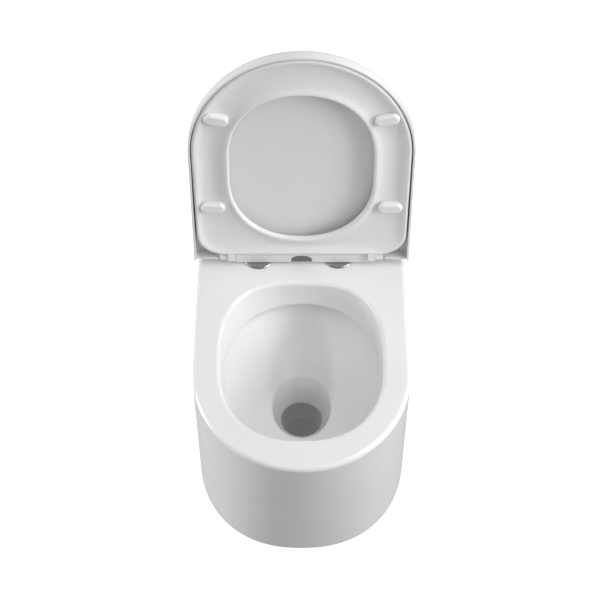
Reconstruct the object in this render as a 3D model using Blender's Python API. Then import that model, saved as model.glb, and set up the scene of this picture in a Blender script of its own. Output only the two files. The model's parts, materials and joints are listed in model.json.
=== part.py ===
"""Back to wall toilet: a rimless shrouded pan with a quick release, soft close seat and a
wrap over lid, both raised. Lengths are in millimetres until a mesh is made.

Plan positions are (x, s): x is sideways and s runs forward from the seat's hinge axis.
"""

import math

import bmesh
import bpy
from mathutils import Matrix, Vector

MM = 0.001
GAP = 0.3  # between pieces that touch

# pan
PAN_HEIGHT = 400.0
PAN_REACH = 427.0  # hinge axis to the front of the rim
PAN_REAR = -85.0  # hinge axis to the wall
RIM_HALF = 180.0
RIM_REAR_HALF = 175.5
RIM_STRAIGHT = 234.0
RIM_ROUND = 8.0
FOOT_REACH = 332.0
FOOT_HALF = 184.0
FOOT_REAR_HALF = 179.0
FOOT_STRAIGHT = 124.0
FOOT_POWER = 2.27
WALL = 12.0
BOWL_WALL = 10.0
HINGE_Y = (PAN_REACH + PAN_REAR) / 2  # puts the footprint's middle at the origin
WALL_Y = HINGE_Y - PAN_REAR

# bowl: height, back edge, front edge, half width, power behind, power in front, valley
BOWL_LEVELS = (
    (401.0, 42.8, 375.7, 143.2, 2.7, 2.4, 0.0),
    (400.0, 43.3, 375.2, 142.7, 2.7, 2.4, 0.0),
    (399.2, 46.8, 371.7, 139.2, 2.7, 2.4, 0.0),
    (396.6, 49.9, 368.6, 136.1, 2.7, 2.4, 0.0),
    (392.0, 51.3, 367.2, 134.7, 2.7, 2.4, 0.0),
    (372.0, 54.0, 366.8, 133.8, 2.4, 2.4, 0.0),
    (352.0, 58.5, 366.2, 132.6, 2.2, 2.4, 0.0),
    (349.5, 50.0, 366.0, 132.4, 2.2, 2.4, 0.0),
    (340.0, 50.0, 365.5, 131.8, 2.15, 2.3, 0.0),
    (326.0, 58.0, 363.0, 129.5, 2.0, 2.3, 3.5),
    (296.0, 84.0, 350.0, 121.0, 1.85, 2.2, 14.0),
    (262.0, 119.0, 318.0, 106.0, 1.8, 2.1, 28.0),
    (240.0, 137.0, 281.0, 86.0, 1.8, 2.0, 30.0),
    (231.0, 139.0, 263.0, 70.0, 1.8, 2.0, 25.0),
    (225.0, 134.0, 251.0, 57.0, 1.9, 2.0, 15.0),
    (220.0, 122.0, 244.5, 50.5, 2.0, 2.0, 1.0),
    (205.0, 127.0, 235.0, 47.5, 2.0, 2.0, 0.0),
    (190.0, 131.0, 225.0, 43.5, 2.0, 2.0, 0.0),
    (176.0, 134.5, 213.0, 39.0, 2.0, 2.0, 0.0),
    (166.0, 137.0, 206.0, 35.0, 2.0, 2.0, 0.0),
)
VALLEY_HALF = 58.0  # of the trough that runs down the back of the bowl
BOWL_SINK = 5.0  # extra depth of china under the bowl's shallow part

# trapway
TRAP_HALF = 35.0
TRAP_WALL = 8.0
TRAP_BEND = 48.0
CREST_BEND = 46.0
SUMP_S = 171.5
DROP_TURN = 40.0
OUTLET_HALF = 51.0
OUTLET_BORE = 44.0
OUTLET_LONG = 25.0

# flush inlet
INLET_Z = 320.0
INLET_HALF = 30.0
INLET_BORE = 23.0
INLET_END_Y = 225.0
SLOT_Z = 345.0

# hinge
AXIS_Z = 418.0
LEAN = 8.0  # degrees that the raised lid leans back past upright
OPEN_TURN = 90.0 + LEAN
BOLT_X = 68.0
BAR_HALF = 111.2
BAR_FRONT = 8.0
BAR_BACK = 8.0
BAR_BOTTOM = -14.6
BAR_TOP = 8.0
SEAT_LUG = (112.0, 125.0)
LID_LUG = (125.1, 138.4)
SEAT_KNUCKLE = 8.0
LID_KNUCKLE = 11.0
PIN_HALF = 4.0
PIN_BORE = 4.3
BOLT_HALF = 3.0
BOLT_BORE = 3.3
POST_HALF = 5.0
POST_TOP = 4.8
POST_FOOT = 10.0
DISC_HALF = 25.5
DISC_THICK = 2.5
LATCH_ARM_Y = (-4.9, 0.1)
LATCH_ARM_Z = (2.2, 4.0)

# seat and lid, as they lie closed, with heights above or below the hinge axis
SEAT_HALF = 180.3
SEAT_REAR_HALF = 176.8
SEAT_REAR = 8.8
SEAT_REACH = 427.0
SEAT_CORNER = 44.0
SEAT_MIDDLE = 206.0
HOLE_BACK = 46.0
HOLE_FRONT = 353.0
HOLE_HALF = 118.5
HOLE_STRAIGHT = (175.0, 225.0)
NOTCH = (124.6, 138.8)
NOTCH_REACH = 11.6
SEAT_STATIONS = 76
LID_HALF = 185.6
LID_REAR_HALF = 182.5
LID_REAR = -4.0
LID_REACH = 432.4
LID_SKIRT = 4.3
LID_LIP = -14.0
LID_INSIDE = 9.2
LID_TOP = 13.0
RIM_TOP = PAN_HEIGHT - AXIS_Z
FRONT_BUFFER = (137.5, 305.5, 15.0)  # x, s, degrees of slant
REAR_BUFFER = (147.6, 116.0, 0.0)
BUFFER_LONG = 20.5
BUFFER_HALF = 10.5
BUFFER_TOP = -5.2
LID_BUFFERS = ((130.0, 318.0), (147.0, 112.0))

# brackets and side screws
BRACKET_Y = 120.0
SIDE_SCREW_Z = 60.0
SIDE_SEAT_X = 177.0
FLOOR_SCREW_X = 138.0

COLOURS = {
    "ceramic": ((0.86, 0.86, 0.85), 0.08, 0.0),
    "duroplast": ((0.88, 0.88, 0.87), 0.22, 0.0),
    "buffer": ((0.84, 0.84, 0.83), 0.5, 0.0),
    "hinge_plastic": ((0.85, 0.85, 0.84), 0.35, 0.0),
    "button_grey": ((0.16, 0.16, 0.17), 0.45, 0.0),
    "chrome": ((0.75, 0.76, 0.78), 0.08, 1.0),
    "steel": ((0.6, 0.6, 0.6), 0.3, 1.0),
    "nylon": ((0.7, 0.7, 0.68), 0.5, 0.0),
    "rubber": ((0.03, 0.03, 0.03), 0.7, 0.0),
    "pipe_plastic": ((0.8, 0.8, 0.79), 0.4, 0.0),
}


def clear_scene():
    for obj in list(bpy.data.objects):
        bpy.data.objects.remove(obj, do_unlink=True)


def material(name):
    found = bpy.data.materials.get(name)
    if found:
        return found
    colour, roughness, metallic = COLOURS[name]
    made = bpy.data.materials.new(name)
    made.use_nodes = True
    shader = made.node_tree.nodes["Principled BSDF"]
    shader.inputs["Base Color"].default_value = (*colour, 1.0)
    shader.inputs["Roughness"].default_value = roughness
    shader.inputs["Metallic"].default_value = metallic
    return made


def solid(verts, faces, name="tool"):
    """A mesh object in metres, with its normals turned outwards."""
    mesh = bpy.data.meshes.new(name)
    mesh.from_pydata([Vector(v) * MM for v in verts], [], faces)
    work = bmesh.new()
    work.from_mesh(mesh)
    bmesh.ops.recalc_face_normals(work, faces=work.faces)
    work.to_mesh(mesh)
    work.free()
    obj = bpy.data.objects.new(name, mesh)
    bpy.context.scene.collection.objects.link(obj)
    return obj


def loft(rings):
    """A closed solid through rings of equally many points, flat at both ends."""
    count = len(rings[0])
    verts = [p for ring in rings for p in ring]
    faces = []
    for level in range(len(rings) - 1):
        low = level * count
        for i in range(count):
            j = (i + 1) % count
            faces.append((low + i, low + j, low + count + j, low + count + i))
    faces.append(tuple(range(count)))
    faces.append(tuple(range(len(verts) - count, len(verts))))
    return solid(verts, faces)


def loop_loft(rings):
    """A closed solid through rings that come back round to the first."""
    count = len(rings[0])
    verts = [p for ring in rings for p in ring]
    faces = []
    for level in range(len(rings)):
        low = level * count
        high = (level + 1) % len(rings) * count
        for i in range(count):
            j = (i + 1) % count
            faces.append((low + i, low + j, high + j, high + i))
    return solid(verts, faces)


def extrude(outline, low, high, axis):
    """An outline drawn across one axis and stretched along it."""
    turn = {
        "x": lambda a, b, c: (c, a, b),
        "y": lambda a, b, c: (a, c, b),
        "z": lambda a, b, c: (a, b, c),
    }[axis]
    return loft([[turn(a, b, c) for a, b in outline] for c in (low, high)])


def block(low, high):
    (x0, y0, z0), (x1, y1, z1) = low, high
    return extrude(((x0, y0), (x1, y0), (x1, y1), (x0, y1)), z0, z1, "z")


def circle(radius, middle=(0.0, 0.0), count=18):
    turns = [2 * math.pi * i / count for i in range(count)]
    return [(middle[0] + radius * math.cos(t), middle[1] + radius * math.sin(t)) for t in turns]


def turned(steps, middle, axis, count=18):
    """A round piece: radius and position for each step along its axis."""
    turn = {
        "x": lambda a, b, c: (c, a, b),
        "y": lambda a, b, c: (a, c, b),
        "z": lambda a, b, c: (a, b, c),
    }[axis]
    rings = []
    for radius, along in steps:
        rings.append([turn(a, b, along) for a, b in circle(radius, middle, count)])
    return loft(rings)


def combine(target, tool, operation):
    change = target.modifiers.new("join", "BOOLEAN")
    change.operation = operation
    change.solver = "EXACT"
    change.object = tool
    graph = bpy.context.evaluated_depsgraph_get()
    mesh = bpy.data.meshes.new_from_object(target.evaluated_get(graph))
    target.modifiers.remove(change)
    target.data = mesh
    bpy.data.objects.remove(tool, do_unlink=True)
    return target


def add(target, *tools):
    for tool in tools:
        combine(target, tool, "UNION")
    return target


def cut(target, *tools):
    for tool in tools:
        combine(target, tool, "DIFFERENCE")
    return target


def finish(obj, name, colour, origin=(0.0, 0.0, 0.0), sharp=35.0):
    """Names a piece, gives it its material and puts its origin on its joint."""
    offset = Vector(origin) * MM
    obj.data.transform(obj.matrix_world)
    obj.data.transform(Matrix.Translation(-offset))
    obj.matrix_world = Matrix.Translation(offset)
    obj.name = name
    obj.data.name = name
    obj.data.materials.clear()
    obj.data.materials.append(material(colour))
    for polygon in obj.data.polygons:
        polygon.use_smooth = True
    obj.data.set_sharp_from_angle(angle=math.radians(sharp))
    return obj


def place(obj, open_turn=0.0):
    """From the hinge axis's own frame into the world, raised by open_turn degrees."""
    raised = Matrix.Rotation(math.radians(-open_turn), 4, "X")
    moved = Matrix.Translation(Vector((0.0, HINGE_Y, AXIS_Z)) * MM)
    obj.data.transform(moved @ raised)
    return obj


def blend(a, b, t):
    return a + (b - a) * t


def plan(half, straight, reach, rear, rear_half, power=2.0, corner=0.0, nose=11):
    """A D in plan: square at the back, straight sides and a rounded front, as (x, s)."""
    side = []
    if corner:
        for i in range(6):
            t = math.pi / 2 * i / 5
            x = rear_half - corner + corner * math.sin(t)
            side.append((x, rear + corner - corner * math.cos(t)))
    else:
        side.append((rear_half, rear))
    start = side[-1][1]
    for i in range(1, 5):
        t = i / 5
        side.append((blend(rear_half, half, t), blend(start, straight, t)))
    for i in range(nose):
        t = math.pi / 2 * i / nose
        across = half * math.cos(t) ** (2 / power)
        side.append((across, straight + (reach - straight) * math.sin(t) ** (2 / power)))
    left = [(-x, s) for x, s in reversed(side)]
    return side + [(0.0, reach)] + left


def at_height(points, z):
    return [(x, HINGE_Y - s, z) for x, s in points]


def wall_plan(z, inset=0.0, rear=PAN_REAR):
    """The pan's outside at a height, drawn in by inset."""
    upright = PAN_HEIGHT - RIM_ROUND
    t = max(0.0, (upright - z) / upright)
    return plan(
        blend(RIM_HALF, FOOT_HALF, t) - inset,
        blend(RIM_STRAIGHT, FOOT_STRAIGHT, t),
        blend(PAN_REACH, FOOT_REACH, t) - inset,
        rear,
        blend(RIM_REAR_HALF, FOOT_REAR_HALF, t) - inset,
        blend(2.0, FOOT_POWER, t),
    )


def shroud():
    rings = [at_height(wall_plan(z), z) for z in (0.0, 100.0, 200.0, 300.0)]
    for i in range(5):
        t = math.pi / 2 * i / 4
        z = PAN_HEIGHT - RIM_ROUND * (1 - math.sin(t))
        inset = RIM_ROUND * (1 - math.cos(t))
        rings.append(at_height(wall_plan(z, inset, PAN_REAR + inset * 0.5), z))
    return loft(rings)


def shroud_hollow():
    top = PAN_HEIGHT - WALL
    rings = [at_height(wall_plan(z, WALL, PAN_REAR - 6), z) for z in (0.0, 130.0, 260.0, top)]
    rings[0] = [(x, y, -2.0) for x, y, _ in rings[0]]
    return loft(rings)


def bowl_ring(level, grow=0.0, count=40):
    z, back, front, half, behind, ahead, valley = level
    middle = (back + front) / 2
    reach = (front - back) / 2 + grow
    wide = half + grow
    ring = []
    for i in range(count):
        t = 2 * math.pi * i / count
        c = math.cos(t)
        s = math.sin(t)
        share = 2 / (ahead if s > 0 else behind)
        x = wide * math.copysign(abs(c) ** share, c)
        along = middle + reach * math.copysign(abs(s) ** share, s)
        if s < 0:
            along -= valley * max(0.0, 1 - (x / VALLEY_HALF) ** 4) ** 2
        ring.append((x, HINGE_Y - along, z))
    return ring


def bowl_inside():
    return loft([bowl_ring(level) for level in BOWL_LEVELS])


def bowl_outside():
    """The bowl's outer wall, from inside the deck to below the sump."""
    rings = [bowl_ring((392.0, 50.0, 367.0, 133.0, 2.4, 2.4, 0.0), BOWL_WALL)]
    for level in BOWL_LEVELS:
        z = level[0] if level[0] > 300.0 else level[0] - BOWL_SINK
        if z <= 352.0:
            rings.append(bowl_ring((z, *level[1:]), BOWL_WALL))
    return loft(rings)


def trap_path():
    """Middle line of the trapway, as (y, z): down, round, up, over the weir and out."""
    y = HINGE_Y - SUMP_S
    points = [(y, 172.0), (y, 150.0), (y, 128.0)]
    for i in range(1, 9):
        t = math.pi * i / 8
        points.append((y + TRAP_BEND - TRAP_BEND * math.cos(t), 128.0 - TRAP_BEND * math.sin(t)))
    up = y + 2 * TRAP_BEND
    turn = math.radians(90.0 + DROP_TURN)
    for i in range(8):
        t = turn * i / 7
        points.append((up + CREST_BEND * (1 - math.cos(t)), 162.0 + CREST_BEND * math.sin(t)))
    end_y, end_z = points[-1]
    drop = math.radians(DROP_TURN)
    for i in range(1, 5):
        t = drop * i / 4
        run = CREST_BEND * (math.sin(drop) - math.sin(drop - t))
        fall = CREST_BEND * (math.cos(drop - t) - math.cos(drop))
        points.append((end_y + run, end_z - fall))
    return points


def tube(path, radius, count=20):
    """A round rod along a path in the plane x = 0."""
    rings = []
    for i, (y, z) in enumerate(path):
        before = Vector(path[max(i - 1, 0)])
        after = Vector(path[min(i + 1, len(path) - 1)])
        along = (after - before).normalized()
        ring = []
        for a, b in circle(radius, count=count):
            ring.append((a, y - along.y * b, z + along.x * b))
        rings.append(ring)
    return loft(rings)


def outlet_axis_z():
    return trap_path()[-1][1]


def outlet_start_y():
    return trap_path()[-1][0]


def spigot(radius, start, end):
    return turned(((radius, start), (radius, end)), (0.0, outlet_axis_z()), "y", 28)


def slot_ring(y, z, wide, high, count=20):
    """A flattened round in the plane y."""
    ring = []
    for a, b in circle(1.0, count=count):
        across = math.copysign(abs(a) ** 0.7, a)
        ring.append((wide * across, y, z + high * b))
    return ring


def flush_passage(grow):
    """From the round inlet to the flat slot under the rim's ledge."""
    bowl_back = HINGE_Y - 50.0
    bore = INLET_BORE + grow
    rings = [
        slot_ring(bowl_back - 7.0 + grow, SLOT_Z, 36.0 + grow, 3.6 + grow),
        slot_ring(bowl_back + 13.0, SLOT_Z, 36.0 + grow, 3.8 + grow),
    ]
    rings.append([(a, 178.0, INLET_Z + b) for a, b in circle(bore, count=20)])
    rings.append([(a, INLET_END_Y + 2 - grow * 0.3, INLET_Z + b) for a, b in circle(bore, count=20)])
    return loft(rings)


def pan_body():
    trap = trap_path()
    out_y = outlet_start_y()
    hollow = shroud_hollow()
    cut(
        hollow,
        bowl_outside(),
        tube(trap, TRAP_HALF + TRAP_WALL),
        spigot(OUTLET_HALF, out_y - 8, out_y + OUTLET_LONG),
        flush_passage(INLET_HALF - INLET_BORE),
    )
    pan = cut(shroud(), hollow)
    cut(
        pan,
        bowl_inside(),
        tube(trap, TRAP_HALF),
        spigot(OUTLET_BORE, out_y - 1, out_y + OUTLET_LONG + 2),
        flush_passage(0.0),
    )
    for side in (-1, 1):
        x = side * BOLT_X
        cut(pan, turned(((8.0, 384.0), (8.0, 402.0)), (x, HINGE_Y), "z"))
        ends = sorted((side * 160.0, side * 190.0))
        hole = turned(((4.0, ends[0]), (4.0, ends[1])), (BRACKET_Y, SIDE_SCREW_Z), "x", 14)
        ends = sorted((side * SIDE_SEAT_X, side * 190.0))
        seat = turned(((11.5, ends[0]), (11.5, ends[1])), (BRACKET_Y, SIDE_SCREW_Z), "x")
        cut(pan, hole, seat)
    return finish(pan, "pan_body", "ceramic")


def ring_piece(name, colour, outer, inner, low, high, middle, axis, count=24):
    body = turned(((outer, low), (outer, high)), middle, axis, count)
    cut(body, turned(((inner, low - 1), (inner, high + 1)), middle, axis, count))
    return finish(body, name, colour)


def plumbing():
    z = outlet_axis_z()
    end = outlet_start_y() + OUTLET_LONG
    seal = turned(((22.7, 203.0), (22.7, 225.3), (29.0, 225.4), (29.0, 229.0)), (0.0, INLET_Z), "y")
    cut(seal, turned(((19.0, 202.0), (19.0, 230.0)), (0.0, INLET_Z), "y"))
    finish(seal, "inlet_seal", "rubber")
    ring_piece("outlet_seal", "rubber", 54.9, OUTLET_HALF + GAP, end - 20, end - 4, (0.0, z), "y", 28)
    sleeve = turned(((58.2, end - 24), (58.2, WALL_Y - 0.5)), (0.0, z), "y", 28)
    cut(sleeve, spigot(55.2, end - 25, WALL_Y))
    finish(sleeve, "outlet_connector", "pipe_plastic")


def side_fixing(label, side):
    """A floor bracket inside the shroud, its two screws and the cap outside."""
    flip = Matrix.Scale(side, 4, (1, 0, 0))
    low = BRACKET_Y - 25
    high = BRACKET_Y + 25
    bracket = block((120, low, GAP), (167, high, 5))
    add(bracket, block((162, low, GAP), (167, high, 88)))
    base_hole = ((3.5, -1.0), (3.5, 6.0))
    cut(bracket, turned(base_hole, (FLOOR_SCREW_X, BRACKET_Y), "z", 14))
    up_hole = ((3.5, 161.0), (3.5, 168.0))
    cut(bracket, turned(up_hole, (BRACKET_Y, SIDE_SCREW_Z), "x", 14))
    steps = ((3.1, GAP), (3.1, 5.3), (6.5, 5.35), (6.5, 7.0), (4.0, 9.0))
    floor_screw = turned(steps, (FLOOR_SCREW_X, BRACKET_Y), "z", 14)
    start = SIDE_SEAT_X + GAP
    steps = ((3.1, 157.0), (3.1, start), (6.5, start + 0.05), (6.5, start + 1.6), (4.5, start + 2.6))
    side_screw = turned(steps, (BRACKET_Y, SIDE_SCREW_Z), "x", 14)
    steps = ((11.0, start), (11.0, start + 4.2), (9.8, start + 5.6), (7.4, start + 6.2))
    cap = turned(steps, (BRACKET_Y, SIDE_SCREW_Z), "x")
    inside = ((7.2, start - 1), (7.2, start + 3.2))
    cut(cap, turned(inside, (BRACKET_Y, SIDE_SCREW_Z), "x"))
    pieces = (
        (bracket, "floor_bracket", "steel"),
        (floor_screw, "floor_screw", "steel"),
        (side_screw, "side_screw", "steel"),
        (cap, "side_cap", "chrome"),
    )
    for obj, name, colour in pieces:
        obj.data.transform(flip)
        if side < 0:
            obj.data.flip_normals()
        finish(obj, f"{label}_{name}", colour)


def seat_fixing(label, side, shift):
    """Bolt, sleeve, nut, post and turning disc on one side."""
    x = side * BOLT_X
    at = (x, HINGE_Y)
    bolt = turned(((2.4, 345.0), (BOLT_HALF, 346.2), (BOLT_HALF, 411.0)), at, "z", 14)
    finish(bolt, f"{label}_hinge_bolt", "steel")
    sleeve = turned(((12.0, 378.0), (12.0, 387.6), (7.7, 387.65), (7.7, 399.7)), at, "z")
    cut(sleeve, turned(((BOLT_BORE, 377.0), (BOLT_BORE, 401.0)), at, "z", 14))
    finish(sleeve, f"{label}_bolt_sleeve", "rubber")
    nut = turned(((9.0, 358.0), (9.0, 372.0), (12.0, 374.0), (12.0, 377.6)), at, "z")
    add(nut, block((x - 17, HINGE_Y - 2, 352), (x - 6, HINGE_Y + 2, 370)))
    add(nut, block((x + 6, HINGE_Y - 2, 352), (x + 17, HINGE_Y + 2, 370)))
    cut(nut, turned(((BOLT_BORE, 350.0), (BOLT_BORE, 379.0)), at, "z", 14))
    finish(nut, f"{label}_wing_nut", "nylon")
    base = PAN_HEIGHT + GAP
    steps = (
        (POST_FOOT, base),
        (POST_FOOT, base + 2.3),
        (POST_HALF, base + 2.6),
        (POST_HALF, AXIS_Z - 3.2),
        (3.2, AXIS_Z - 2.8),
        (3.2, AXIS_Z + 2.8),
        (POST_HALF, AXIS_Z + 3.2),
        (POST_HALF, AXIS_Z + POST_TOP - 0.6),
        (POST_HALF - 0.6, AXIS_Z + POST_TOP),
    )
    post = turned(steps, at, "z")
    cut(post, turned(((BOLT_BORE, base - 1), (BOLT_BORE, 411.5)), at, "z", 14))
    finish(post, f"{label}_hinge_post", "chrome")
    middle = (x + shift[0], HINGE_Y - shift[1])
    steps = ((DISC_HALF, base), (DISC_HALF, base + 1.1), (DISC_HALF - 1.6, base + DISC_THICK - 0.4))
    disc = turned(steps + ((DISC_HALF - 4, base + DISC_THICK),), middle, "z", 36)
    cut(disc, turned(((POST_FOOT + GAP, base - 1), (POST_FOOT + GAP, base + 6)), at, "z"))
    finish(disc, f"{label}_hinge_disc", "chrome", (x, HINGE_Y, base))


def bar_profile():
    """The hinge bar end on, as (y, z) about the axis: upright sides under a half round."""
    points = [(-BAR_FRONT, BAR_BOTTOM)]
    for i in range(13):
        t = math.pi * i / 12
        points.append((-BAR_TOP * math.cos(t), BAR_TOP * math.sin(t)))
    points.append((BAR_BACK, BAR_BOTTOM))
    return points


def button_outline(grow):
    """Flat below and arched above, as (x, z) about the axis."""
    low = -12.4 - grow
    points = [(17.6 + grow, low)]
    for i in range(13):
        t = math.pi * i / 12
        c = math.cos(t)
        x = (17.6 + grow) * math.copysign(abs(c) ** 0.7, c)
        points.append((x, -9.4 + (11.8 + grow) * math.sin(t) ** 0.75))
    points.append((-17.6 - grow, low))
    return points


def hinge_bar():
    bar = extrude(bar_profile(), -BAR_HALF, BAR_HALF, "x")
    cut(bar, block((-62.0, -6.0, -8.0), (62.0, 5.4, 4.4)))
    cut(bar, block((-64.6, -2.9, -2.7), (64.6, 2.9, 2.7)))
    cut(bar, block((-60.4, -5.1, -15.0), (60.4, 5.4, -7.0)))
    cut(bar, extrude(button_outline(0.35), -BAR_FRONT - 1, -5.0, "y"))
    for side in (-1, 1):
        at = (side * BOLT_X, 0.0)
        cut(bar, turned(((POST_HALF + GAP, -16.0), (POST_HALF + GAP, POST_TOP + GAP)), at, "z"))
        ends = sorted((side * 83.6, side * 112.0))
        cut(bar, turned(((6.7, ends[0]), (6.7, ends[1])), (0.0, 0.0), "x"))
    finish(place(bar), "hinge_bar", "hinge_plastic")
    cover = block((-60.0, -4.8, BAR_BOTTOM + 0.1), (60.0, 5.0, -8.3))
    finish(place(cover), "hinge_cover", "hinge_plastic")


def release_button():
    button = extrude(button_outline(0.0), -BAR_FRONT, -6.8, "y")
    wedge = ((-7.4, -7.0), (7.4, -7.0), (7.4, -2.4), (5.2, -0.2), (-5.2, -0.2), (-7.4, -2.4))
    add(button, extrude(wedge, -1.9, 1.9, "z"))
    finish(place(button), "release_button", "button_grey", (0.0, HINGE_Y - BAR_FRONT, AXIS_Z))


def button_spring():
    """A small coil behind the button's wedge."""
    turns = 4
    steps = 8
    rings = []
    for i in range(turns * steps + 1):
        t = 2 * math.pi * i / steps
        along = blend(0.5, 4.7, i / (turns * steps))
        ring = []
        for a, b in circle(0.35, (2.0, 0.0), 4):
            ring.append((a * math.cos(t), along + b, a * math.sin(t)))
        rings.append(ring)
    finish(place(loft(rings)), "button_spring", "steel")


def latch(label, half_turn):
    """A bar from the post to a hook on the wedge's far side, with the arm over the wedge."""
    y0, y1 = LATCH_ARM_Y
    z0, z1 = LATCH_ARM_Z
    piece = block((-58.0, y0, -2.4), (-20.0, 3.0, z1))
    add(piece, block((-64.2, -2.6, -2.4), (-57.0, 2.6, 2.4)))
    add(piece, block((-21.0, y0, z0), (14.5, y1, z1)))
    hook = ((5.5 - y0, y0), (14.5, y0), (14.5, y1), (5.5 - y1, y1))
    add(piece, extrude(hook, -1.9, z0 + 0.5, "z"))
    if half_turn:
        piece.data.transform(Matrix.Rotation(math.pi, 4, "Y"))
    origin = ((1 if half_turn else -1) * 40.0, HINGE_Y, AXIS_Z)
    finish(place(piece), f"{label}_latch", "nylon", origin)


def hinge_end(label, side):
    """A damper in the bar's end and the pin through both lugs."""
    damper = turned(((6.4, 84.0), (6.4, 110.6)), (0.0, 0.0), "x")
    cut(damper, turned(((PIN_BORE, 97.0), (PIN_BORE, 112.0)), (0.0, 0.0), "x", 14))
    pin = turned(((PIN_HALF, 98.0), (PIN_HALF, 137.4), (3.3, 138.0)), (0.0, 0.0), "x", 14)
    flip = Matrix.Scale(side, 4, (1, 0, 0))
    for obj, name, colour in ((damper, "damper", "nylon"), (pin, "hinge_pin", "steel")):
        obj.data.transform(flip)
        if side < 0:
            obj.data.flip_normals()
        finish(place(obj), f"{label}_{name}", colour, (0.0, HINGE_Y, AXIS_Z))


def ray_hit(points, middle, turn):
    """Where a ray from the middle leaves a closed outline."""
    dx = math.cos(turn)
    ds = math.sin(turn)
    for (xa, sa), (xb, sb) in zip(points, points[1:] + points[:1]):
        ex = xb - xa
        es = sb - sa
        spread = dx * es - ds * ex
        if abs(spread) < 1e-9:
            continue
        fx = xa
        fs = sa - middle
        reach = (fx * es - fs * ex) / spread
        share = (fx * ds - fs * dx) / spread
        if reach > 0 and -1e-9 <= share <= 1 + 1e-9:
            return (reach * dx, middle + reach * ds)
    raise ValueError("the outline has a gap")


def hole_plan(count=96):
    """Straight sided, with near elliptical ends."""
    ring = []
    for i in range(count):
        t = 2 * math.pi * i / count
        c = math.cos(t)
        s = math.sin(t)
        x = HOLE_HALF * math.copysign(abs(c) ** 0.93, c)
        back, front = HOLE_STRAIGHT
        if s < 0:
            along = back - (back - HOLE_BACK) * abs(s) ** 0.93
        else:
            along = front + (HOLE_FRONT - front) * s**0.93
        ring.append((x, along))
    return ring


SEAT_SECTION = (
    ("outer", 0.0, -9.0),
    ("outer", 1.5, -12.8),
    ("outer", 4.0, -14.0),
    ("outer", 8.0, -12.8),
    ("outer", 15.0, -8.8),
    ("share", 0.5, -6.4),
    ("inner", 14.0, -8.8),
    ("inner", 7.0, -12.4),
    ("inner", 3.5, -13.4),
    ("inner", 1.0, -12.0),
    ("inner", 0.0, -8.5),
    ("inner", 0.0, -5.6),
    ("inner", 1.6, -3.0),
    ("inner", 6.0, -1.2),
    ("inner", 20.0, 3.2),
    ("outer", 22.0, 5.0),
    ("outer", 8.0, 5.0),
    ("outer", 2.5, 3.6),
    ("outer", 0.0, 0.0),
)


def seat_shape():
    outer = plan(SEAT_HALF, RIM_STRAIGHT, SEAT_REACH, SEAT_REAR, SEAT_REAR_HALF, 2.0, SEAT_CORNER)
    hole = hole_plan()
    rings = []
    for i in range(SEAT_STATIONS):
        turn = 2 * math.pi * (i + 0.5) / SEAT_STATIONS
        edge = Vector(ray_hit(outer, SEAT_MIDDLE, turn))
        rim = Vector(ray_hit(hole, SEAT_MIDDLE, turn))
        width = (rim - edge).length
        ring = []
        for kind, value, z in SEAT_SECTION:
            share = {"outer": value / width, "share": value, "inner": 1 - value / width}[kind]
            at = edge.lerp(rim, share)
            ring.append((at.x, -at.y, z))
        rings.append(ring)
    return loop_loft(rings)


def pill(middle, slant, long_half, radius, low, high):
    """A stadium shaped block, slanted in plan."""
    points = []
    for i in range(16):
        t = -math.pi / 2 + math.pi * (i % 8) / 7 + (math.pi if i > 7 else 0)
        end = (long_half - radius) * (1 if i < 8 else -1)
        points.append((end + radius * math.cos(t), radius * math.sin(t)))
    turn = math.radians(slant)
    c = math.cos(turn)
    s = math.sin(turn)
    moved = [(middle[0] + a * c - b * s, middle[1] + a * s + b * c) for a, b in points]
    return extrude(moved, low, high, "z")


def seat_buffer_places():
    for label, side in (("left", -1), ("right", 1)):
        for place_name, (x, s, slant) in (("front", FRONT_BUFFER), ("rear", REAR_BUFFER)):
            yield f"{label}_{place_name}_seat_buffer", (side * x, -s), -side * slant


def knuckle(span, side, radius):
    ends = sorted((side * span[0], side * span[1]))
    return turned(((radius, ends[0]), (radius, ends[1])), (0.0, 0.0), "x")


def seat_lug(side):
    """A tab back from the seat's underside, rounded over the hinge pin."""
    ends = sorted((side * SEAT_LUG[0], side * SEAT_LUG[1]))
    outline = [(-12.0, -13.0), (5.4, -13.0), (7.8, -10.6)]
    for i in range(9):
        t = math.radians(157.0) * i / 8
        outline.append((SEAT_KNUCKLE * math.cos(t), SEAT_KNUCKLE * math.sin(t)))
    outline.append((-12.0, 3.0))
    return extrude(outline, ends[0], ends[1], "x")


def pin_hole(span, side):
    ends = sorted((side * (span[0] - 1), side * (span[1] + 1)))
    return turned(((PIN_BORE, ends[0]), (PIN_BORE, ends[1])), (0.0, 0.0), "x", 14)


def seat():
    ring = seat_shape()
    for side in (-1, 1):
        add(ring, seat_lug(side))
        ends = sorted((side * NOTCH[0], side * NOTCH[1]))
        cut(ring, block((ends[0], -NOTCH_REACH, -20.0), (ends[1], 12.0, 12.0)))
        cut(ring, pin_hole(SEAT_LUG, side))
    for _, middle, slant in seat_buffer_places():
        pocket = (BUFFER_LONG + GAP, BUFFER_HALF + GAP, -20.0, BUFFER_TOP + GAP)
        cut(ring, pill(middle, slant, *pocket))
    origin = (0.0, HINGE_Y, AXIS_Z)
    finish(place(ring, OPEN_TURN), "seat_ring", "duroplast", origin)
    for name, middle, slant in seat_buffer_places():
        buffer = pill(middle, slant, BUFFER_LONG, BUFFER_HALF, RIM_TOP + GAP, BUFFER_TOP)
        finish(place(buffer, OPEN_TURN), name, "buffer", origin)


def lid_plan(inset, rear):
    return plan(
        LID_HALF - inset, RIM_STRAIGHT, LID_REACH - inset, rear, LID_REAR_HALF - inset, 2.0, 0.0, 12
    )


def flat_ring(points, z):
    return [(x, -s, z) for x, s in points]


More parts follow.
